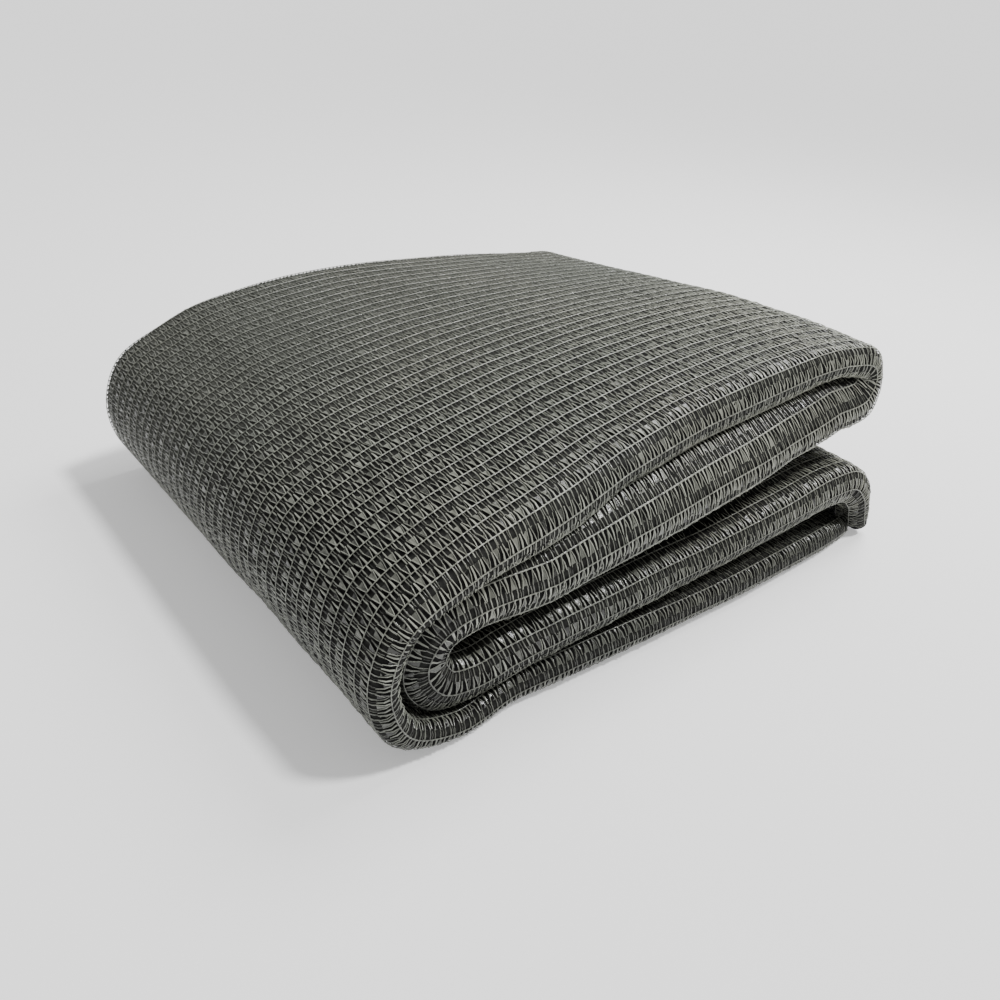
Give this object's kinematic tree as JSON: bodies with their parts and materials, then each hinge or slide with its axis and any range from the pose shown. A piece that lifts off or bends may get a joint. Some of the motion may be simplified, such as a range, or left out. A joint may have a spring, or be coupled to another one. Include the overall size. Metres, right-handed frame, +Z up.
{
  "type": "folded shade cloth",
  "caption": "Knitted shade cloth of flat plastic tapes, folded lengthwise into a strip and the strip folded in half twice into a flat, springy stack with rounded side folds.",
  "frame": {"origin": "centre of the bounding box, on the face that the folded cloth rests on", "axes": "+X along the chain stitches, from the rounded turn that wraps the pack towards the open end, +Y from the rounded side folds to the back, +Z up"},
  "size_m": [0.2732, 0.2437, 0.0944],
  "materials": {
    "grey_green_knit": "knit of flat, slightly glossy plastic tapes in dark grey-green, with lighter chain stitches"
  },
  "bodies": {
    "root": {"shade_cloth": "grey_green_knit"}
  },
  "joints": []
}
